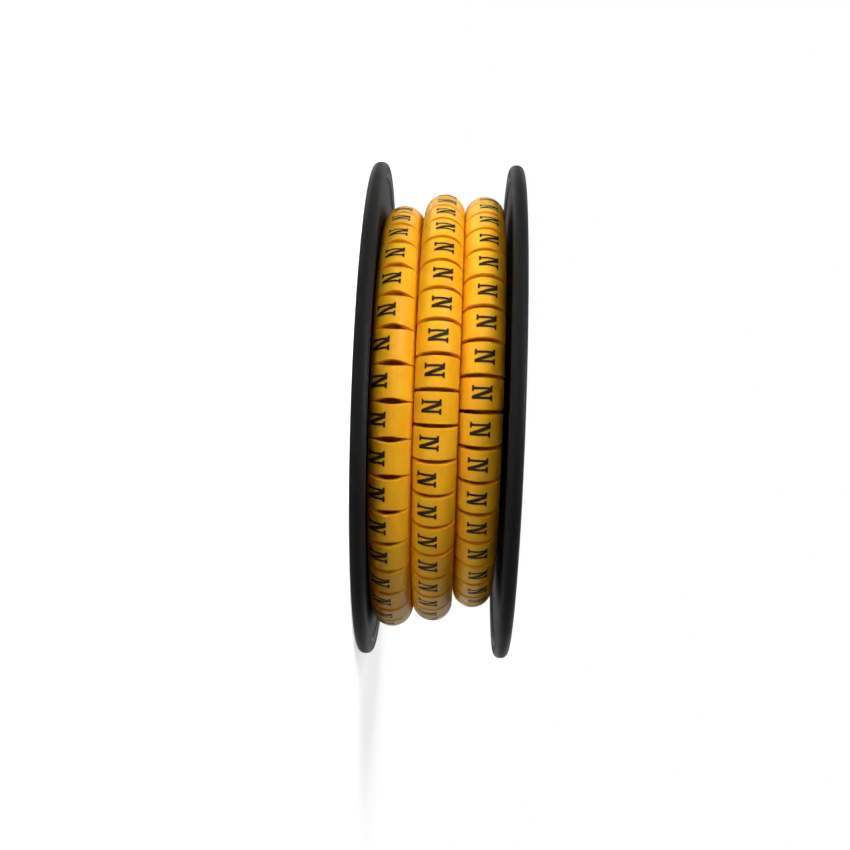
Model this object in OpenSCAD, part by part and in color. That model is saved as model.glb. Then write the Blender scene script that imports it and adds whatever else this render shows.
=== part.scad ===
// A reel of slit-tube cable markers. A two-piece moulded spool carries a soft
// tube that is cut almost through into short sleeves and wound in three turns
// side by side. The reel stands on its lower flange, with its axis along +Z and
// its origin in the middle of the face that it stands on.

/* [Marker strip] */
// Outside diameter of the marker tube
marker_od = 6.2; // [5:0.1:7]
// Wall thickness of the marker tube
marker_wall = 0.7; // [0.6:0.05:1]
// Length of one marker, on all sides where the strip lies slack at its free end
marker_length = 4.5; // [4:0.05:8]
// Length that the hinge side loses where the strip is wound tight
hinge_squeeze = 0.35; // [0:0.05:0.6]
// Width of the uncut hinge that joins two markers
hinge_width = 1.2; // [0.8:0.1:1.3]
// Thickness of the uncut hinge
hinge_thickness = 0.35; // [0.25:0.05:0.4]
// Gap that a cut leaves on the hinge side
cut_gap = 0.05; // [0.04:0.01:0.15]
// Diameter over the highest turn
wind_d = 71; // [66:0.5:73]
// Space between turns that lie side by side
turn_gap = 0.14; // [0.1:0.02:0.3]

/* [Spool] */
// Diameter of the flanges
flange_d = 80; // [77:0.5:100]
// Thickness of the flange rim
rim_thickness = 2.2; // [2.1:0.1:3]
// Radial width of the flange rim
rim_width = 2.7; // [2.4:0.1:4]
// Rounding of the rim's edges
rim_edge = 0.95; // [0.4:0.05:1]
// Thickness of the flange between rim and hub
web_thickness = 1.4; // [1:0.1:1.6]
// Outside diameter of the hub
hub_d = 26.5; // [25:0.5:30]
// Diameter of the spindle bore
bore_d = 20; // [16:0.5:20]
// Wall of the spigot that presses into the hub sleeve
spigot_wall = 1.4; // [1:0.1:1.6]
// Radial width of the raised boss round the bore
boss_width = 4.5; // [3.5:0.1:8]
// Side play of the turns between the flanges
side_play = 1.2; // [0.8:0.1:2]

/* [Hidden] */
$fn = 96;

// Spool sizes
flange_r = flange_d / 2;
bore_r = bore_d / 2;
hub_r = hub_d / 2;
web_inset = (rim_thickness - web_thickness) / 2;
web_top = web_inset + web_thickness;
overlap = 0.2;
fit_gap = 0.05;
spigot_r = bore_r + spigot_wall;
snap_r = 0.5;
snap_rise = 0.25;
bore_chamfer = 0.4;

// Winding sizes, with the first turn resting near the lower flange
turn_count = 3;
turn_pitch = marker_od + turn_gap;
floor_gap = 0.2;
channel = turn_count * turn_pitch - turn_gap + side_play;
reel_height = channel + 2 * web_top;
joint_z = reel_height / 2;
first_turn_z = web_top + floor_gap + marker_od / 2;

// How far each half turn lies below the highest one, in tube diameters, from the
// free end inwards. After the last of them the strip drops to the layer beneath.
layer_drop = marker_od + fit_gap;
visible_dip = marker_od * [0.39, 0.39, 0, 0.065, 0.18, 0.095, 0.565];
buried_dip = visible_dip[6] + layer_drop;
half_turn_dip = concat(visible_dip, [buried_dip, buried_dip]);

// Polar angles along the path, where the front is at 270 degrees in each turn
strip_start = 112;
strip_end = 1430;
slack_angle = 450;
cross_middle = 450;
cross_half = 65;

function ease(u) = let(v = min(max(u, 0), 1)) v * v * (3 - 2 * v);
function mix(p, q, u) = p + (q - p) * u;
function dip(a) =
    let(i = floor(a / 180), u = (1 - cos(a - 180 * i)) / 2)
    mix(half_turn_dip[i], half_turn_dip[i + 1], u);
function path_r(a) = wind_d / 2 - marker_od / 2 - dip(a);
function crossing(a, turn) = ease((a - cross_middle - 360 * turn + cross_half) / (2 * cross_half));
function path_z(a) = first_turn_z + turn_pitch * (crossing(a, 0) + crossing(a, 1));
function path(a) = [path_r(a) * cos(a), path_r(a) * sin(a), path_z(a)];
function unit(v) = v / norm(v);

// Matrix that lays X along the path, Z away from the reel's axis and Y across
function path_frame(a) =
    let(
        t = unit(path(a + 1) - path(a - 1)),
        out = [cos(a), sin(a), 0],
        n = unit(out - t * (out * t)),
        b = cross(n, t),
        p = path(a)
    )
    [[t.x, b.x, n.x, p.x], [t.y, b.y, n.y, p.y], [t.z, b.z, n.z, p.z], [0, 0, 0, 1]];

// One marker takes up its length and one cut along the hinge side of the tube,
// which is measured over the next few degrees of the path
measured_angle = 8;
function hinge_side(a) =
    let(frame = path_frame(a))
    [for (row = [0:2]) frame[row][3] - frame[row][2] * marker_od / 2];
function squeezed_length(a) = marker_length - hinge_squeeze * min((a - strip_start) / slack_angle, 1);
function marker_step(a) =
    (squeezed_length(a) + cut_gap) * measured_angle / norm(hinge_side(a + measured_angle) - hinge_side(a));
marker_angles = [for (a = strip_start; a < strip_end; a = a + marker_step(a)) a];
marker_count = len(marker_angles);
wall_middle = (marker_od - marker_wall) / 2;
hinge_length = 1;

// Radius that the turns beneath reach under each visible turn
under_r = [
    for (turn = [0:turn_count - 1])
        let(a = 180 + 360 * turn, low = max(dip(a), dip(a + 180)))
        wind_d / 2 - low - layer_drop - (turn == turn_count - 1 ? layer_drop : 0)
];

// Flange, rim and boss of one spool half, from its outer face up to its web
module flange_section() {
    translate([flange_r - rim_width / 2, rim_thickness / 2]) {
        square([rim_width - 2 * rim_edge, rim_thickness], center = true);
        square([rim_width, rim_thickness - 2 * rim_edge], center = true);
        for (x = [-1, 1], y = [-1, 1])
            translate([x * (rim_width / 2 - rim_edge), y * (rim_thickness / 2 - rim_edge)])
                circle(r = rim_edge);
    }
    translate([bore_r, web_inset])
        square([flange_r - rim_width / 2 - bore_r, web_thickness]);
    polygon([
        [bore_r, bore_chamfer],
        [bore_r + bore_chamfer, 0],
        [bore_r + boss_width, 0],
        [bore_r + boss_width, web_top],
        [bore_r, web_top]
    ]);
}

module snap_bead(rise) {
    translate([spigot_r + rise - snap_r, joint_z])
        circle(r = snap_r);
}

module lower_spool_half() {
    color("#1b1b1d")
        rotate_extrude() {
            flange_section();
            difference() {
                translate([spigot_r + fit_gap, web_top - overlap])
                    square([hub_r - spigot_r - fit_gap, channel + overlap - fit_gap]);
                snap_bead(snap_rise + fit_gap);
            }
        }
}

module upper_spool_half() {
    color("#1b1b1d")
        rotate_extrude() {
            translate([0, reel_height])
                mirror([0, 1])
                    flange_section();
            translate([bore_r, web_top + fit_gap])
                square([spigot_wall, channel + overlap - fit_gap]);
            snap_bead(snap_rise);
        }
}

// Side view of one marker, which tapers from its full length to its hinge side
function marker_side(hinge_side_length) = [
    for (side = [[-1, -1], [1, -1], [1, 1], [-1, 1]])
        [side.x * mix(hinge_side_length, marker_length, side.y + 0.5) / 2, side.y * marker_od]
];

module marker(hinge_side_length) {
    difference() {
        intersection() {
            rotate([0, 90, 0])
                cylinder(d = marker_od, h = 2 * marker_length, center = true);
            rotate([90, 0, 0])
                linear_extrude(2 * marker_od, center = true)
                    polygon(marker_side(hinge_side_length));
        }
        rotate([0, 90, 0])
            cylinder(d = marker_od - 2 * marker_wall, h = 3 * marker_length, center = true);
    }
}

// The uncut hinge lies inside the tube wall and reaches into both markers.
// Straight markers stand off a bent path by lift, halfway between them.
module hinge(lift) {
    translate([0, 0, lift - wall_middle])
        cube([hinge_length, hinge_width, hinge_thickness], center = true);
}

// The inner end of the strip holds on to the turn beneath it
module inner_end_bond() {
    translate([0, 0, -marker_od / 2])
        cube([hinge_length, hinge_width, marker_wall], center = true);
}

// The turns beneath the visible layer, closed up into one wound block that
// keeps the round backs of the turns on which the visible layer rests
module under_turns() {
    inner_r = hub_r + fit_gap;
    neck_width = 0.8 * marker_od;
    block_share = 0.4;
    rotate_extrude()
        intersection() {
            union() {
                for (turn = [0:turn_count - 1])
                    translate([0, first_turn_z + turn * turn_pitch]) {
                        translate([0, -neck_width / 2])
                            square([under_r[turn] - marker_od / 2, neck_width]);
                        translate([under_r[turn] - marker_od / 2, 0])
                            circle(d = marker_od);
                    }
                for (turn = [0:turn_count - 2])
                    let(pair_r = min(under_r[turn], under_r[turn + 1]))
                        translate([0, first_turn_z + turn * turn_pitch])
                            square([mix(inner_r, pair_r, block_share), turn_pitch]);
            }
            translate([inner_r, 0])
                square([wind_d / 2, reel_height]);
        }
}

module marker_strip() {
    color("#f5ad1b") {
        for (i = [0:marker_count - 1])
            multmatrix(path_frame(marker_angles[i]))
                marker(squeezed_length(marker_angles[i]));
        for (i = [0:marker_count - 2])
            let(a = (marker_angles[i] + marker_angles[i + 1]) / 2)
                multmatrix(path_frame(a))
                    hinge(path_r(a) * (1 - cos(marker_step(a) / 2)));
        multmatrix(path_frame(marker_angles[marker_count - 1]))
            inner_end_bond();
        under_turns();
    }
}

lower_spool_half();
upper_spool_half();
marker_strip();
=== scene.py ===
"""Looks of a reel of slit-tube cable markers.

The reel stands on its lower flange with its axis along +Z, and the camera looks along +Y.
A tube that is cut almost through into short sleeves is wound on it in three turns side by side.
Lengths are metres and path angles are degrees, counted on through the turns from the free end.
"""
import math

import bpy
import numpy as np
from mathutils import Matrix, Vector


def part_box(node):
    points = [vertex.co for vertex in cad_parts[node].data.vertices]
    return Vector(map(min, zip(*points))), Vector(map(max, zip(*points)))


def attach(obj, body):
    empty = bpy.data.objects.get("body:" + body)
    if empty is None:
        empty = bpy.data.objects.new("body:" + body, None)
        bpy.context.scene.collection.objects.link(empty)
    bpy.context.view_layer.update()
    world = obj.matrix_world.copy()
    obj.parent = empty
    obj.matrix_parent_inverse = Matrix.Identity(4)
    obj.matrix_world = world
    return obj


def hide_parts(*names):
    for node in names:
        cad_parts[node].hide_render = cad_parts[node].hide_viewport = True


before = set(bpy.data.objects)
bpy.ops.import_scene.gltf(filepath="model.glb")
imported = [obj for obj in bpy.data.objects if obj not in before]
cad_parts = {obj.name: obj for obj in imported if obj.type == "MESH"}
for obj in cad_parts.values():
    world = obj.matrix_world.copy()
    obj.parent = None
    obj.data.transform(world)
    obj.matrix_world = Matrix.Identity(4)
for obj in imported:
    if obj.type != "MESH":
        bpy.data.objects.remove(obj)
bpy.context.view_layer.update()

MM = 0.001
SEED = 27
MIDDLE_TONE = 0.5
BODY = "root"

# Marker strip, with the same sizes as the solids
MARKER_OD = 6.2 * MM
MARKER_WALL = 0.7 * MM
MARKER_LENGTH = 4.5 * MM
HINGE_SQUEEZE = 0.35 * MM
CUT_GAP = 0.05 * MM
HINGE_WIDTH = 1.2 * MM
HINGE_THICKNESS = 0.35 * MM
HINGE_LENGTH = 1.0 * MM
TURN_GAP = 0.14 * MM
WIND_R = 35.5 * MM
TUBE_R = MARKER_OD / 2
TURN_PITCH = MARKER_OD + TURN_GAP
TURN_COUNT = 3

# Spool, with the same sizes as the solids
FLANGE_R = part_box("lower_spool_half")[1].x
REEL_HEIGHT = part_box("upper_spool_half")[1].z
RIM_THICKNESS = 2.2 * MM
RIM_WIDTH = 2.7 * MM
RIM_EDGE = 0.95 * MM
WEB_THICKNESS = 1.4 * MM
WEB_INSET = (RIM_THICKNESS - WEB_THICKNESS) / 2
WEB_TOP = WEB_INSET + WEB_THICKNESS
HUB_R = 13.25 * MM
BORE_R = 10.0 * MM
SPIGOT_WALL = 1.4 * MM
SPIGOT_R = BORE_R + SPIGOT_WALL
BOSS_WIDTH = 4.5 * MM
BOSS_R = BORE_R + BOSS_WIDTH
BORE_CHAMFER = 0.4 * MM
FIT_GAP = 0.05 * MM

# Spool details that only the looks have, and where the hub sleeve and the spigot end
SPOOL_EDGE = 0.2 * MM
HUB_FILLET = 2 * SPOOL_EDGE
HUB_END = REEL_HEIGHT - WEB_TOP - FIT_GAP
SPOOL_SIDES = 288
RIM_STEPS = 8
EDGE_STEPS = 4

# Path of the strip, as it is in the solids
FIRST_TURN_GAP = 0.2 * MM
FIRST_TURN_Z = WEB_TOP + FIRST_TURN_GAP + TUBE_R
LAYER_DROP = MARKER_OD + FIT_GAP
VISIBLE_DIP = MARKER_OD * np.array([0.39, 0.39, 0.0, 0.065, 0.18, 0.095, 0.565])
HALF_TURN_DIP = np.append(VISIBLE_DIP, [VISIBLE_DIP[-1] + LAYER_DROP] * 2)
STRIP_START = 112.0
STRIP_END = 1430.0
SLACK_ANGLE = 450.0
CROSS_MIDDLE = 450.0
CROSS_HALF = 65.0
MEASURED_ANGLE = 8.0

# Turn of the tube about its middle line, as the print shows it: path angle and turn, in degrees
FIRST_TWIST = [(200, -3), (223, -8), (238, -17), (255, -36), (270, -39), (300, -32), (331, -19), (450, 0)]
SECOND_TWIST = [(540, 6), (604, 6), (621, -7), (648, -21), (672, -11), (690, -11), (810, 0)]
THIRD_TWIST = [(900, 8), (952, 10), (977, 5), (995, -4), (1012, -3), (1028, 4), (1042, 13), (1080, 15)]
TWIST_AT, TWIST = np.array(FIRST_TWIST + SECOND_TWIST + THIRD_TWIST).T

# Cuts between the markers
SLACK_POWER = 12.0
TIGHT_POWER = 0.8
TUBE_OVAL = 1.02
CUT_EDGE_R = 0.08 * MM
EDGE_SUPPORT = 0.1 * MM
WALL_BULGE = 0.015 * MM
MARKER_SIDES = 32

# Turns beneath the visible layer
CORE_SHARE = 0.4
NECK_SHARE = 0.8
BACK_STEPS = 24
UNDER_CUTS = 38
NOTCH_DEPTH = 0.5 * MM
NOTCH_FROM = 0.2

# Printed character
LETTER_HEIGHT = 2.9 * MM
STEM_X = 0.67 * MM
STEM_HALF = 0.18 * MM
DIAGONAL_HALF = 0.28 * MM
DIAGONAL_SHIFT = 0.1 * MM
SERIF_REACH = 0.25 * MM
SERIF_FROM = 0.4
LETTER_BACK = 0.1 * MM
PRINT_LIFT = 0.03 * MM
PRINT_WANDER = 0.05 * MM

# Colours
AMBER = (0.90, 0.42, 0.01)
AMBER_PALE = (0.95, 0.465, 0.017)
AMBER_CLOUD = (0.86, 0.38, 0.006)
AMBER_CUT = (0.85, 0.34, 0.004)
AMBER_SPECK = (0.55, 0.22, 0.02)
INK_FULL = (0.012, 0.006, 0.003)
INK_THIN = (0.05, 0.024, 0.005)
SPOOL_BLACK = (0.0058, 0.0058, 0.006)
SPOOL_CLOUD = (0.0078, 0.0075, 0.0072)
# Paler colour painted on the spool's rounded edges: a painted sheen
SPOOL_EDGE_SHEEN = (0.012, 0.012, 0.012)
SPOOL_SPECK = (0.03, 0.029, 0.027)
PAPER = (0.88, 0.88, 0.88, 1.0)
WHITE = (1.0, 1.0, 1.0, 1.0)

# Floor, and how brightly it shows near the reel and far from it
FLOOR_HALF = 3.0
FLOOR_POINTS = 13
FLOOR_GAP = 0.02 * MM
NEAR_REACH = 0.1
FAR_REACH = 0.4
NEAR_GLOW = 0.66
FAR_GLOW = 0.98
WORLD_LIGHT = 0.04


def ease(u):
    """Smooth step: three squares less two cubes of u, held between 0 and 1."""
    v = np.clip(u, 0.0, 1.0)
    return v * v * (3.0 - 2.0 * v)


def dip(a):
    """Depth below the highest turn: a cosine blend from each half turn's depth to the next."""
    half_turn = np.floor(a / 180.0).astype(int)
    share = (1.0 - np.cos(np.radians(a - 180.0 * half_turn))) / 2.0
    here = HALF_TURN_DIP[half_turn]
    return here + (HALF_TURN_DIP[half_turn + 1] - here) * share


def path(a):
    """Middle of the tube: a circle that dips, and that steps up by one turn pitch at each crossing."""
    r = WIND_R - TUBE_R - dip(a)
    crossed = ease((a - CROSS_MIDDLE + CROSS_HALF) / (2 * CROSS_HALF))
    crossed = crossed + ease((a - 360.0 - CROSS_MIDDLE + CROSS_HALF) / (2 * CROSS_HALF))
    z = FIRST_TURN_Z + TURN_PITCH * crossed
    return np.stack([r * np.cos(np.radians(a)), r * np.sin(np.radians(a)), z], axis=-1)


def unit(v):
    """Vectors divided by their own lengths."""
    return v / np.linalg.norm(v, axis=-1, keepdims=True)


def path_frame(a):
    """Place on the path, with unit vectors along it, across it and out from the reel's axis."""
    along = unit(path(a + 1.0) - path(a - 1.0))
    away = np.stack([np.cos(np.radians(a)), np.sin(np.radians(a)), 0.0 * a], axis=-1)
    out = unit(away - along * np.sum(away * along, axis=-1, keepdims=True))
    return path(a), along, np.cross(out, along), out


def hinge_side(a):
    """Point of the tube nearest to the reel's axis."""
    place, _, _, out = path_frame(a)
    return place - out * TUBE_R


def tightness(a):
    """How tightly the strip is wound: it grows evenly from 0 at the slack free end to 1."""
    return np.minimum((a - STRIP_START) / SLACK_ANGLE, 1.0)


def squeezed_length(a):
    """Length of a marker's hinge side, which shrinks where the strip is wound tight."""
    return MARKER_LENGTH - HINGE_SQUEEZE * tightness(a)


def marker_angles():
    """Path angles of the markers, one squeezed length and one cut apart along the hinge side."""
    angles = [STRIP_START]
    while angles[-1] < STRIP_END:
        here = angles[-1]
        start, end = hinge_side(np.array([here, here + MEASURED_ANGLE]))
        step = (squeezed_length(here) + CUT_GAP) * MEASURED_ANGLE / np.linalg.norm(end - start)
        angles.append(here + step)
    return np.array(angles[:-1])


def twist(a):
    """Turn of the tube about its own middle line, in radians, blended between the listed places."""
    return np.radians(np.interp(a, TWIST_AT, TWIST))


def grid_quads(rows, cols, close_rows=False, close_cols=False):
    """Quads between neighbours of a grid, facing the way that rows cross columns points."""
    i = np.arange(rows if close_rows else rows - 1)[:, None]
    j = np.arange(cols if close_cols else cols - 1)[None, :]
    down = (i + 1) % rows
    right = (j + 1) % cols
    corners = np.broadcast_arrays(i * cols + j, down * cols + j, down * cols + right, i * cols + right)
    return np.stack(corners, axis=-1).reshape(-1, 4)


def repeated(quads, count, points_each):
    """The same quads for each of count copies of a set of points."""
    return (quads[None] + np.arange(count)[:, None, None] * points_each).reshape(-1, 4)


def piece(name, points, quads, material, sharp_degrees=180.0, **attributes):
    """Mesh object from points and quads, smooth apart from edges sharper than an angle."""
    mesh = bpy.data.meshes.new(name)
    mesh.vertices.add(len(points))
    mesh.vertices.foreach_set("co", points.astype(np.float32).ravel())
    mesh.loops.add(quads.size)
    mesh.loops.foreach_set("vertex_index", quads.astype(np.int32).ravel())
    mesh.polygons.add(len(quads))
    mesh.polygons.foreach_set("loop_start", np.arange(0, quads.size, 4, dtype=np.int32))
    mesh.update(calc_edges=True)
    mesh.validate()
    mesh.shade_smooth()
    mesh.set_sharp_from_angle(angle=math.radians(sharp_degrees))
    for key, values in attributes.items():
        kind, field = ("FLOAT_VECTOR", "vector") if values.ndim == 2 else ("FLOAT", "value")
        mesh.attributes.new(key, kind, "POINT").data.foreach_set(field, values.astype(np.float32).ravel())
    mesh.materials.append(material)
    obj = bpy.data.objects.new(name, mesh)
    bpy.context.scene.collection.objects.link(obj)
    return obj


# Finishes


def node_group(name, inputs, outputs):
    """Empty shader node group with float or vector inputs and float outputs."""
    group = bpy.data.node_groups.new(name, "ShaderNodeTree")
    for label, kind in inputs:
        group.interface.new_socket(label, in_out="INPUT", socket_type=kind)
    for label in outputs:
        group.interface.new_socket(label, in_out="OUTPUT", socket_type="NodeSocketFloat")
    return group, group.nodes.new("NodeGroupInput"), group.nodes.new("NodeGroupOutput")


def mottle_group():
    """Soft cloudy variation: the middle range of noise, spread between a low and a high value."""
    group, given, result = node_group(
        "mottle",
        [
            ("Vector", "NodeSocketVector"),
            ("Scale", "NodeSocketFloat"),
            ("Detail", "NodeSocketFloat"),
            ("Low", "NodeSocketFloat"),
            ("High", "NodeSocketFloat"),
        ],
        ["Value"],
    )
    noise = group.nodes.new("ShaderNodeTexNoise")
    spread = group.nodes.new("ShaderNodeMapRange")
    spread.inputs["From Min"].default_value = 0.3
    spread.inputs["From Max"].default_value = 0.7
    group.links.new(given.outputs["Vector"], noise.inputs["Vector"])
    group.links.new(given.outputs["Scale"], noise.inputs["Scale"])
    group.links.new(given.outputs["Detail"], noise.inputs["Detail"])
    group.links.new(noise.outputs["Fac"], spread.inputs["Value"])
    group.links.new(given.outputs["Low"], spread.inputs["To Min"])
    group.links.new(given.outputs["High"], spread.inputs["To Max"])
    group.links.new(spread.outputs["Result"], result.inputs["Value"])
    return group


def specks_group():
    """Scattered small marks: the peaks of fine noise, thinned out by coarser noise."""
    group, given, result = node_group(
        "specks",
        [
            ("Vector", "NodeSocketVector"),
            ("Scale", "NodeSocketFloat"),
            ("Amount", "NodeSocketFloat"),
        ],
        ["Mask"],
    )
    coarse_share = 0.13
    fine = group.nodes.new("ShaderNodeTexNoise")
    coarse = group.nodes.new("ShaderNodeTexNoise")
    coarse_scale = group.nodes.new("ShaderNodeMath")
    coarse_scale.operation = "MULTIPLY"
    coarse_scale.inputs[1].default_value = coarse_share
    peaks = group.nodes.new("ShaderNodeMapRange")
    peaks.inputs["From Min"].default_value = 0.6
    peaks.inputs["From Max"].default_value = 0.7
    thinned = group.nodes.new("ShaderNodeMath")
    thinned.operation = "MULTIPLY"
    amount = group.nodes.new("ShaderNodeMath")
    amount.operation = "MULTIPLY"
    group.links.new(given.outputs["Vector"], fine.inputs["Vector"])
    group.links.new(given.outputs["Scale"], fine.inputs["Scale"])
    group.links.new(given.outputs["Vector"], coarse.inputs["Vector"])
    group.links.new(given.outputs["Scale"], coarse_scale.inputs[0])
    group.links.new(coarse_scale.outputs[0], coarse.inputs["Scale"])
    group.links.new(fine.outputs["Fac"], peaks.inputs["Value"])
    group.links.new(peaks.outputs["Result"], thinned.inputs[0])
    group.links.new(coarse.outputs["Fac"], thinned.inputs[1])
    group.links.new(thinned.outputs[0], amount.inputs[0])
    group.links.new(given.outputs["Amount"], amount.inputs[1])
    group.links.new(amount.outputs[0], result.inputs["Mask"])
    return group


MOTTLE = mottle_group()
SPECKS = specks_group()

# Places of the colour sockets on a mix node
MIX_FIRST = 6
MIX_SECOND = 7
MIX_RESULT = 2


class Finish:
    """One material, with short calls for the nodes that the finishes share."""

    def __init__(self, name):
        self.material = bpy.data.materials.new(name)
        self.material.use_nodes = True
        self.nodes = self.material.node_tree.nodes
        self.links = self.material.node_tree.links
        self.shader = self.nodes["Principled BSDF"]
        self.place = self.nodes.new("ShaderNodeTexCoord").outputs["Object"]

    def set(self, **values):
        """Constants on the shader's sockets, named with _ for each space."""
        for label, value in values.items():
            self.shader.inputs[label.replace("_", " ")].default_value = value

    def feed(self, label, source):
        """Link from an output to one of the shader's sockets."""
        self.links.new(source, self.shader.inputs[label])

    def attribute(self, name, output="Fac"):
        """Value or vector that the piece's mesh carries at each point."""
        node = self.nodes.new("ShaderNodeAttribute")
        node.attribute_name = name
        return node.outputs[output]

    def group(self, tree, output, vector=None, **values):
        """Shared effect with its own values, over the object's space or another vector."""
        node = self.nodes.new("ShaderNodeGroup")
        node.node_tree = tree
        self.links.new(vector or self.place, node.inputs["Vector"])
        for label, value in values.items():
            node.inputs[label].default_value = value
        return node.outputs[output]

    def mottle(self, scale, low, high, detail=3.0, vector=None):
        """Cloudy value between low and high."""
        return self.group(MOTTLE, "Value", vector, Scale=scale, Detail=detail, Low=low, High=high)

    def specks(self, scale, amount):
        """Mask of scattered marks, as strong as amount."""
        return self.group(SPECKS, "Mask", None, Scale=scale, Amount=amount)

    def stretched(self, vector, scale):
        """Vector times a scale for each axis."""
        node = self.nodes.new("ShaderNodeMapping")
        node.inputs["Scale"].default_value = scale
        self.links.new(vector, node.inputs["Vector"])
        return node.outputs["Vector"]

    def put(self, value, socket):
        """Link from an output, or a constant, to a socket."""
        if isinstance(value, bpy.types.NodeSocket):
            self.links.new(value, socket)
        else:
            socket.default_value = value

    def blend(self, factor, first, second):
        """Colour that goes from the first to the second with the factor."""
        node = self.nodes.new("ShaderNodeMix")
        node.data_type = "RGBA"
        self.links.new(factor, node.inputs["Factor"])
        for value, place in ((first, MIX_FIRST), (second, MIX_SECOND)):
            self.put((*value, 1.0) if isinstance(value, tuple) else value, node.inputs[place])
        return node.outputs[MIX_RESULT]

    def math(self, operation, first, second):
        """Sum, difference or product of two values."""
        node = self.nodes.new("ShaderNodeMath")
        node.operation = operation
        self.put(first, node.inputs[0])
        self.put(second, node.inputs[1])
        return node.outputs[0]

    def bump(self, height, distance):
        """Fine relief, as deep as distance."""
        node = self.nodes.new("ShaderNodeBump")
        node.inputs["Strength"].default_value = 1.0
        node.inputs["Distance"].default_value = distance
        self.links.new(height, node.inputs["Height"])
        self.feed("Normal", node.outputs["Normal"])


def marker_plastic():
    """Soft amber PVC: waxy, a little clouded, with fine drawn lines along the tube and duller cuts."""
    finish = Finish("marker_plastic")
    shade = finish.blend(finish.attribute("tone"), AMBER, AMBER_PALE)
    shade = finish.blend(finish.mottle(scale=700.0, low=0.0, high=0.35), shade, AMBER_CLOUD)
    cut = finish.attribute("cut")
    shade = finish.blend(cut, shade, AMBER_CUT)
    shade = finish.blend(finish.specks(scale=2600.0, amount=0.35), shade, AMBER_SPECK)
    finish.feed("Base Color", shade)
    waxy = finish.mottle(scale=1500.0, low=0.34, high=0.46)
    cut_dullness = 0.2
    finish.feed("Roughness", finish.math("ADD", waxy, finish.math("MULTIPLY", cut, cut_dullness)))
    drawn = finish.stretched(finish.attribute("tube_space", "Vector"), scale=(0.06, 1.0, 1.0))
    lines = finish.mottle(scale=6500.0, low=0.0, high=1.0, detail=2.0, vector=drawn)
    finish.bump(lines, distance=0.012 * MM)
    finish.set(Specular_IOR_Level=0.14, Subsurface_Weight=0.6, Subsurface_Scale=1.3 * MM)
    finish.set(Subsurface_Radius=(1.0, 0.45, 0.1))
    return finish.material


def print_ink():
    """Black marking ink, thinner and browner in places, with a dry sheen."""
    finish = Finish("print_ink")
    thin = finish.mottle(scale=2200.0, low=0.0, high=0.55, detail=4.0)
    finish.feed("Base Color", finish.blend(thin, INK_FULL, INK_THIN))
    finish.feed("Roughness", finish.mottle(scale=3000.0, low=0.42, high=0.6))
    finish.set(Specular_IOR_Level=0.08)
    return finish.material


def spool_plastic():
    """Black moulded plastic: satin with a fine moulded grain, polished along the edges, with a painted
    sheen that makes the edges paler.
    """
    finish = Finish("spool_plastic")
    edge_sheen_and_wear = finish.attribute("wear")
    # Painted sheen: the rounded edges are mixed towards a paler colour in cloudy patches
    painted_edge_sheen = finish.math("MULTIPLY", edge_sheen_and_wear, finish.mottle(scale=260.0, low=0.0, high=0.5))
    shade = finish.blend(finish.mottle(scale=90.0, low=0.0, high=1.0), SPOOL_BLACK, SPOOL_CLOUD)
    shade = finish.blend(painted_edge_sheen, shade, SPOOL_EDGE_SHEEN)
    shade = finish.blend(finish.specks(scale=1500.0, amount=0.2), shade, SPOOL_SPECK)
    finish.feed("Base Color", shade)
    satin = finish.mottle(scale=420.0, low=0.53, high=0.59)
    edge_polish = 0.16
    finish.feed("Roughness", finish.math("SUBTRACT", satin, finish.math("MULTIPLY", edge_sheen_and_wear, edge_polish)))
    grain = finish.mottle(scale=7000.0, low=0.0, high=1.0, detail=2.0)
    finish.bump(grain, distance=0.01 * MM)
    finish.set(Specular_IOR_Level=0.034)
    return finish.material


# Spool


def arc(r, z, radius, start, end, steps):
    """Rounded edge of a section: points on a circle, with a share that is highest in the middle of the arc,
    which the spool takes for wear and painted sheen.
    """
    u = np.linspace(0.0, 1.0, steps + 1)
    a = np.radians(start + (end - start) * u)
    return np.stack([r + radius * np.cos(a), z + radius * np.sin(a), np.sin(np.pi * u)], axis=-1)


def line(*points):
    """Straight stretches of a section, whose share is 0: no wear and no painted sheen on the spool."""
    return np.array([(r, z, 0.0) for r, z in points])


def web_line(start_r, end_r, z):
    """Face of the flange between hub and rim, with close points at its ends to keep it flat."""
    u = np.array([0.0, 0.004, 0.25, 0.5, 0.75, 0.996, 1.0])
    r = start_r + (end_r - start_r) * u
    return np.stack([r, z + 0.0 * r, 0.0 * r], axis=-1)


def flange_section():
    """Flange from its inner face at the hub round the rim to the bore, clockwise in radius and height."""
    inner_r = FLANGE_R - RIM_WIDTH + RIM_EDGE
    outer_r = FLANGE_R - RIM_EDGE
    top_z = RIM_THICKNESS - RIM_EDGE
    meet = math.degrees(math.asin((WEB_TOP - RIM_THICKNESS + RIM_EDGE) / RIM_EDGE))
    lip_r = inner_r - RIM_EDGE * math.cos(math.radians(meet))
    return np.concatenate([
        web_line(HUB_R + HUB_FILLET, lip_r, WEB_TOP),
        arc(inner_r, top_z, RIM_EDGE, 180.0 - meet, 90.0, RIM_STEPS),
        arc(outer_r, top_z, RIM_EDGE, 90.0, 0.0, RIM_STEPS),
        arc(outer_r, RIM_EDGE, RIM_EDGE, 0.0, -90.0, RIM_STEPS),
        arc(inner_r, RIM_EDGE, RIM_EDGE, -90.0, meet - 180.0, RIM_STEPS),
        web_line(lip_r, BOSS_R, WEB_INSET),
        arc(BOSS_R - SPOOL_EDGE, SPOOL_EDGE, SPOOL_EDGE, 0.0, -90.0, EDGE_STEPS),
        line((BORE_R + BORE_CHAMFER, 0.0), (BORE_R, BORE_CHAMFER)),
    ])


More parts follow.
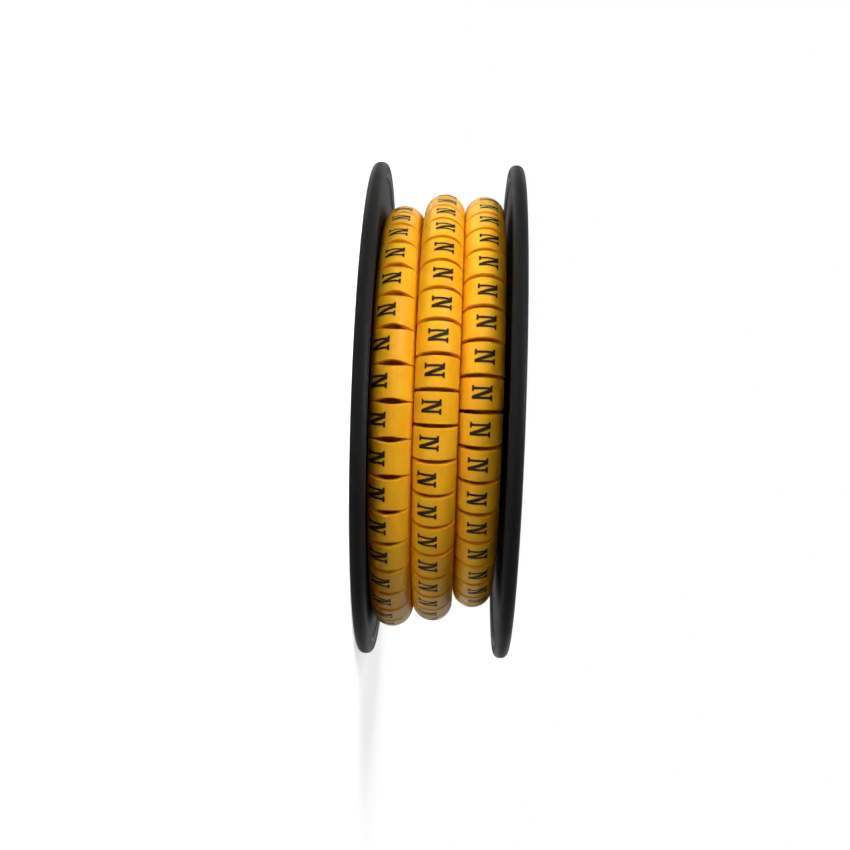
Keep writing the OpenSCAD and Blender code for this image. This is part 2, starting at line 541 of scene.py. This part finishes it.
def lower_section():
    """Flange with the outer hub sleeve that stands on it."""
    return np.concatenate([
        line((BORE_R, WEB_TOP), (SPIGOT_R + FIT_GAP, WEB_TOP), (SPIGOT_R + FIT_GAP, HUB_END)),
        arc(HUB_R - SPOOL_EDGE, HUB_END - SPOOL_EDGE, SPOOL_EDGE, 90.0, 0.0, EDGE_STEPS),
        arc(HUB_R + HUB_FILLET, WEB_TOP + HUB_FILLET, HUB_FILLET, 180.0, 270.0, EDGE_STEPS)[:-1],
        flange_section(),
    ])


def upper_section():
    """The other flange upside down, with the spigot that presses into the sleeve."""
    whole = np.concatenate([
        line((BORE_R, HUB_END)),
        arc(SPIGOT_R - SPOOL_EDGE, HUB_END - SPOOL_EDGE, SPOOL_EDGE, 90.0, 0.0, EDGE_STEPS),
        line((SPIGOT_R, WEB_TOP), (HUB_R, WEB_TOP)),
        flange_section(),
    ])
    whole[:, 1] = REEL_HEIGHT - whole[:, 1]
    return whole[::-1]


def revolved(section, sides):
    """Section carried round the reel's axis: radius times cosine and sine of the turn, and height."""
    turn = np.linspace(0.0, 2 * np.pi, sides, endpoint=False)[None, :]
    r = section[:, 0][:, None]
    z = section[:, 1][:, None] + 0.0 * turn
    points = np.stack([r * np.cos(turn), r * np.sin(turn), z], axis=-1)
    return points.reshape(-1, 3), grid_quads(len(section), sides, close_rows=True, close_cols=True)


def spool_half(node, section, material):
    """One moulded half: its section carried round the axis, with the section's wear and painted sheen on
    every side.
    """
    points, quads = revolved(section, SPOOL_SIDES)
    # Share of edge wear and painted sheen at each point, taken from the section
    wear = np.repeat(section[:, 2], SPOOL_SIDES)
    obj = piece(node + "_moulding", points, quads, material, sharp_degrees=35.0, wear=wear)
    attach(obj, BODY)
    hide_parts(node)


# Marker strip


def tube_point(a, turn, distance, along_shift):
    """Point at a turn about the tube, at a distance from its middle line and a shift along it."""
    place, along, across, out = path_frame(a)
    per_marker = (slice(None),) + (None,) * (np.ndim(turn) - 1)
    ray = out[per_marker] * np.cos(turn)[..., None]
    ray = ray + across[per_marker] * TUBE_OVAL * np.sin(turn)[..., None]
    outwards = ray * np.asarray(distance)[..., None]
    onwards = along[per_marker] * np.asarray(along_shift)[..., None]
    return place[per_marker] + outwards + onwards


def bend(angles):
    """How far the path turns towards the reel's axis from each marker to the next."""
    _, along, _, out = path_frame(angles)
    return -np.sum((along[1:] - along[:-1]) * (out[1:] + out[:-1]) / 2, axis=-1)


def marker_rings():
    """Rings of one marker's wall, from bore edge to bore edge: side, inset, distance, cut share."""
    q = np.radians([0.0, 45.0, 90.0])
    inset = np.concatenate([[0.0], CUT_EDGE_R * (1 - np.cos(q)), [CUT_EDGE_R + EDGE_SUPPORT]])
    distance = np.concatenate([[TUBE_R - MARKER_WALL], TUBE_R - CUT_EDGE_R * (1 - np.sin(q)), [TUBE_R]])
    cut = np.array([1.0, 1.0, 0.4, 0.0, 0.0])
    end = np.ones(len(inset))
    return (
        np.concatenate([-end, [0.0], end]),
        np.concatenate([inset, [0.0], inset[::-1]]),
        np.concatenate([distance, [TUBE_R + WALL_BULGE], distance[::-1]]),
        np.concatenate([cut, [0.0], cut[::-1]]),
    )


def marker_walls(angles):
    """Walls of all markers: rings about the tube, whose ends lean with the bend and the open cuts.

    The half length at a turn about the tube is half of the pitch there less half of the cut's opening.
    The pitch grows from the hinge side outwards with the bend. The opening is a power of a raised cosine:
    it is widest on the side away from the reel's axis, where the marker keeps its full length.
    """
    side, inset, distance, cut = (values[None, :, None] for values in marker_rings())
    turn = np.linspace(-np.pi, np.pi, MARKER_SIDES, endpoint=False)[None, None, :]
    between = np.maximum(bend(angles), 0.0)
    before = np.concatenate([between[:1], between])[:, None, None]
    after = np.concatenate([between, between[-1:]])[:, None, None]
    bend_here = np.where(side < 0, before, after)
    hinge_pitch = squeezed_length(angles)[:, None, None] + CUT_GAP
    pitch = hinge_pitch + bend_here * (TUBE_R + distance * np.cos(turn))
    facing = (1 + np.cos(turn)) / 2
    widest = np.maximum(hinge_pitch + bend_here * MARKER_OD - MARKER_LENGTH, CUT_GAP)
    power = SLACK_POWER + (TIGHT_POWER - SLACK_POWER) * tightness(angles)[:, None, None]
    opening = CUT_GAP + (widest - CUT_GAP) * facing ** power
    along_shift = side * ((pitch - opening) / 2 - inset)
    shape = along_shift.shape
    turn = np.broadcast_to(turn, shape)
    distance = np.broadcast_to(distance, shape)
    points = tube_point(angles, turn, distance, along_shift)
    middle = np.arange(len(angles))[:, None, None] * MARKER_LENGTH
    straight = np.stack([along_shift + middle, distance * np.cos(turn), distance * np.sin(turn)], axis=-1)
    ring_quads = grid_quads(shape[1], shape[2], close_rows=True, close_cols=True)
    quads = repeated(ring_quads, len(angles), shape[1] * shape[2])
    return points.reshape(-1, 3), quads, straight.reshape(-1, 3), np.broadcast_to(cut, shape).ravel()


def marker_hinges(angles):
    """Uncut hinges: a small flat bar from each marker to the next, in the wall nearest the reel's axis."""
    middle = (angles[1:] + angles[:-1]) / 2
    corner = np.array([(x, y, z) for x in (-1, 1) for y in (-1, 1) for z in (-1, 1)]) / 2
    lift = np.linalg.norm(path(middle)[:, :2], axis=-1) * (1 - np.cos(np.radians(np.diff(angles)) / 2))
    wall_middle = TUBE_R - MARKER_WALL / 2 - lift[:, None]
    distance = wall_middle + corner[None, :, 2] * HINGE_THICKNESS
    turn = np.pi + corner[None, :, 1] * HINGE_WIDTH / wall_middle
    points = tube_point(middle, turn, distance, corner[None, :, 0] * HINGE_LENGTH + 0.0 * turn)
    box = np.array([(0, 2, 3, 1), (4, 5, 7, 6), (0, 1, 5, 4), (2, 6, 7, 3), (0, 4, 6, 2), (1, 3, 7, 5)])
    return points.reshape(-1, 3), repeated(box[:, ::-1], len(middle), len(corner))


def wound_strip(material):
    """The strip in one mesh: the walls of the markers and the hinges between them."""
    angles = marker_angles()
    walls, wall_quads, straight, cut = marker_walls(angles)
    hinges, hinge_quads = marker_hinges(angles)
    tone = np.random.default_rng(SEED).random(len(angles))
    tone = np.concatenate([np.repeat(tone, len(walls) // len(angles)), np.full(len(hinges), MIDDLE_TONE)])
    obj = piece(
        "wound_strip",
        np.concatenate([walls, hinges]),
        np.concatenate([wall_quads, hinge_quads + len(walls)]),
        material,
        sharp_degrees=40.0,
        tone=tone,
        cut=np.concatenate([cut, np.ones(len(hinges))]),
        tube_space=np.concatenate([straight, hinges]),
    )
    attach(obj, BODY)
    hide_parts("marker_strip")


def back_end(limit, centre):
    """Angle from outwards at which a round back ends: where it meets the core's limit, or at its neck."""
    neck = math.pi - math.asin(NECK_SHARE)
    if limit <= centre - TUBE_R:
        return neck
    return min(neck, math.acos((limit - centre) / TUBE_R))


def under_section():
    """Section of the turns beneath: three round backs joined by a core, clockwise in radius and height."""
    inner_r = HUB_R + FIT_GAP
    starts = 180.0 + 360.0 * np.arange(TURN_COUNT)
    low = np.maximum(dip(starts), dip(starts + 180.0))
    reach = WIND_R - low - LAYER_DROP
    reach[-1] -= LAYER_DROP
    centre = reach - TUBE_R
    core = inner_r + CORE_SHARE * (np.minimum(reach[1:], reach[:-1]) - inner_r)
    limits = np.concatenate([[inner_r], core, [inner_r]])
    stretches = []
    for row in reversed(range(TURN_COUNT)):
        z = FIRST_TURN_Z + row * TURN_PITCH
        above = back_end(limits[row + 1], centre[row])
        below = back_end(limits[row], centre[row])
        back = arc(centre[row], z, TUBE_R, math.degrees(above), -math.degrees(below), BACK_STEPS)
        stretches.append(line((limits[row + 1], z + TUBE_R * math.sin(above))))
        stretches.append(back)
        stretches.append(line((limits[row], z - TUBE_R * math.sin(below))))
    return np.concatenate(stretches)


def under_turns(material):
    """The turns beneath: their section carried round the axis, with a narrow notch at every marker."""
    section = under_section()
    share = np.array([0.0, 0.05, 0.075, 0.1, 0.3, 0.5, 0.7, 0.9, 0.925, 0.95])
    notch = np.array([1.0, 1.0, 0.5, 0.0, 0.0, 0.0, 0.0, 0.0, 0.5, 1.0])
    turn = ((np.arange(UNDER_CUTS)[:, None] + share[None, :]) * 2 * np.pi / UNDER_CUTS).reshape(1, -1)
    on_back = section[:, 2] > NOTCH_FROM
    depth = np.tile(notch, UNDER_CUTS)[None, :] * NOTCH_DEPTH * on_back[:, None]
    r = section[:, 0][:, None] - depth
    z = section[:, 1][:, None] + 0.0 * turn
    points = np.stack([r * np.cos(turn), r * np.sin(turn), z], axis=-1).reshape(-1, 3)
    obj = piece(
        "under_turns",
        points,
        grid_quads(len(section), turn.size, close_rows=True, close_cols=True),
        material,
        sharp_degrees=35.0,
        tone=np.full(len(points), MIDDLE_TONE),
        cut=(depth > 0).ravel().astype(float),
        tube_space=points,
    )
    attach(obj, BODY)


# Print


def letter_outline():
    """Edges of a serif N at rising levels: two thin stems, and a thick diagonal held between them."""
    share = np.array([-0.5, -0.41, -0.38, -0.28, -0.14, 0.0, 0.14, 0.28, 0.38, 0.41, 0.5])
    level = share * LETTER_HEIGHT
    foot = (share < -SERIF_FROM) * SERIF_REACH
    head = (share > SERIF_FROM) * SERIF_REACH
    left = [-STEM_X - STEM_HALF - foot - head, -STEM_X + STEM_HALF + foot]
    right = [STEM_X - STEM_HALF - head, STEM_X + STEM_HALF + head]
    run = STEM_X + STEM_HALF - DIAGONAL_HALF
    middle = -2 * share * run + DIAGONAL_SHIFT
    first = np.maximum(middle - DIAGONAL_HALF, left[1])
    second = np.maximum(np.minimum(middle + DIAGONAL_HALF, right[0]), first)
    return level, np.stack([*left, first, second, *right], axis=-1)


def printed_letters(material):
    """One letter on each marker: its height runs round the tube and its width along the path."""
    angles = marker_angles()
    level, edges = letter_outline()
    wander = np.random.default_rng(SEED + 1).normal(0.0, PRINT_WANDER, (2, len(angles), 1, 1))
    along_shift = edges[None] - LETTER_BACK + wander[0]
    turn = twist(angles)[:, None, None] + (level[None, :, None] + wander[1]) / TUBE_R + 0.0 * edges[None]
    distance = np.full(turn.shape, TUBE_R + PRINT_LIFT)
    points = tube_point(angles, turn, distance, along_shift)
    levels, width = edges.shape
    strokes = grid_quads(levels, width).reshape(levels - 1, width - 1, 4)[:, ::2].reshape(-1, 4)
    quads = repeated(strokes[:, ::-1], len(angles), levels * width)
    obj = piece("printed_letters", points.reshape(-1, 3), quads, material)
    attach(obj, BODY)


# Studio


def seen_directly(nodes, links):
    """Share of light paths that show the background: camera, glossy and transmission rays."""
    light_path = nodes.new("ShaderNodeLightPath")
    first = nodes.new("ShaderNodeMath")
    second = nodes.new("ShaderNodeMath")
    first.operation = "MAXIMUM"
    second.operation = "MAXIMUM"
    links.new(light_path.outputs["Is Camera Ray"], first.inputs[0])
    links.new(light_path.outputs["Is Glossy Ray"], first.inputs[1])
    links.new(first.outputs[0], second.inputs[0])
    links.new(light_path.outputs["Is Transmission Ray"], second.inputs[1])
    return second.outputs[0]


def floor_paper():
    """Pale paper, which shows near white, more so far from the reel, and still takes its shadow."""
    material = bpy.data.materials.new("floor_paper")
    material.use_nodes = True
    nodes = material.node_tree.nodes
    links = material.node_tree.links
    nodes.remove(nodes["Principled BSDF"])
    paper = nodes.new("ShaderNodeBsdfDiffuse")
    paper.inputs["Color"].default_value = PAPER
    glow = nodes.new("ShaderNodeEmission")
    place = nodes.new("ShaderNodeTexCoord")
    reach = nodes.new("ShaderNodeVectorMath")
    reach.operation = "LENGTH"
    far = nodes.new("ShaderNodeMapRange")
    far.interpolation_type = "SMOOTHSTEP"
    far.inputs["From Min"].default_value = NEAR_REACH
    far.inputs["From Max"].default_value = FAR_REACH
    far.inputs["To Min"].default_value = NEAR_GLOW
    far.inputs["To Max"].default_value = FAR_GLOW
    links.new(place.outputs["Object"], reach.inputs[0])
    links.new(reach.outputs["Value"], far.inputs["Value"])
    links.new(far.outputs["Result"], glow.inputs["Strength"])
    shown = nodes.new("ShaderNodeAddShader")
    chosen = nodes.new("ShaderNodeMixShader")
    links.new(glow.outputs[0], shown.inputs[0])
    links.new(paper.outputs[0], shown.inputs[1])
    links.new(seen_directly(nodes, links), chosen.inputs["Fac"])
    links.new(paper.outputs[0], chosen.inputs[1])
    links.new(shown.outputs[0], chosen.inputs[2])
    links.new(chosen.outputs[0], nodes["Material Output"].inputs["Surface"])
    return material


def floor():
    """Wide flat grid just beneath the reel."""
    lines = np.linspace(-FLOOR_HALF, FLOOR_HALF, FLOOR_POINTS)
    x, y = np.meshgrid(lines, lines, indexing="ij")
    points = np.stack([x, y, 0.0 * x - FLOOR_GAP], axis=-1).reshape(-1, 3)
    piece("floor", points, grid_quads(FLOOR_POINTS, FLOOR_POINTS), floor_paper())


def surroundings():
    """White studio all round, which lights the reel softly and more weakly than it looks."""
    world = bpy.data.worlds.new("studio")
    world.use_nodes = True
    nodes = world.node_tree.nodes
    links = world.node_tree.links
    soft = nodes["Background"]
    soft.inputs["Color"].default_value = WHITE
    soft.inputs["Strength"].default_value = WORLD_LIGHT
    white = nodes.new("ShaderNodeBackground")
    white.inputs["Color"].default_value = WHITE
    white.inputs["Strength"].default_value = 1.0
    chosen = nodes.new("ShaderNodeMixShader")
    links.new(seen_directly(nodes, links), chosen.inputs["Fac"])
    links.new(soft.outputs[0], chosen.inputs[1])
    links.new(white.outputs[0], chosen.inputs[2])
    links.new(chosen.outputs[0], nodes["World Output"].inputs["Surface"])
    bpy.context.scene.world = world


def soft_lamp(name, place, aim, size, power, spread=180.0):
    """Square soft box that faces the point it is aimed at, with its beam spread in degrees."""
    light = bpy.data.lights.new(name, "AREA")
    light.size = size
    light.energy = power
    light.spread = math.radians(spread)
    obj = bpy.data.objects.new(name, light)
    obj.location = place
    obj.rotation_euler = (Vector(aim) - Vector(place)).to_track_quat("-Z", "Y").to_euler()
    bpy.context.scene.collection.objects.link(obj)


def lamps():
    """Key light in front and to one side, and two that light the floor before and behind the reel."""
    middle = (0.0, 0.0, REEL_HEIGHT / 2)
    floor_in_front = (-0.06, -0.11, 0.0)
    floor_behind = (0.0, 0.25, 0.0)
    soft_lamp("key", place=(-0.274, -0.286, 0.223), aim=middle, size=0.18, power=1.45)
    soft_lamp("overhead", place=(-0.06, -0.11, 0.35), aim=floor_in_front, size=0.1, power=0.22, spread=40.0)
    soft_lamp("rear", place=(0.0, 0.48, 0.42), aim=floor_behind, size=0.4, power=1.0)


def camera():
    """Camera in front of the reel, rolled so that the reel's axis runs across the picture.

    The foot is where the +Y direction falls in the picture, in pixels from its middle.
    """
    stand = (0.0, -0.2104, 0.01415)
    picture = 850.0
    sensor = 36.0
    focal_pixels = 1270.9
    foot_right = 30.4
    foot_up = 14.4
    roll = 0.0335
    level = Vector((0.0, 0.0, 1.0))
    upright = Vector((-1.0, 0.0, 0.0))
    right = math.cos(roll) * level + math.sin(roll) * upright
    up = math.cos(roll) * upright - math.sin(roll) * level
    forward = Vector((0.0, 1.0, 0.0)) - (foot_right * right + foot_up * up) / focal_pixels
    forward.normalize()
    right = (right - right.dot(forward) * forward).normalized()
    up = (-forward).cross(right)
    data = bpy.data.cameras.new("camera")
    data.sensor_width = sensor
    data.lens = focal_pixels / picture * sensor
    data.clip_start = 0.01
    obj = bpy.data.objects.new("camera", data)
    turned = Matrix((right, up, -forward)).transposed().to_4x4()
    obj.matrix_world = Matrix.Translation(stand) @ turned
    bpy.context.scene.collection.objects.link(obj)
    bpy.context.scene.camera = obj


camera()
surroundings()
lamps()
floor()

spool_black = spool_plastic()
spool_half("lower_spool_half", lower_section(), spool_black)
spool_half("upper_spool_half", upper_section(), spool_black)
amber = marker_plastic()
wound_strip(amber)
under_turns(amber)
printed_letters(print_ink())

bpy.context.scene.view_settings.view_transform = "Standard"
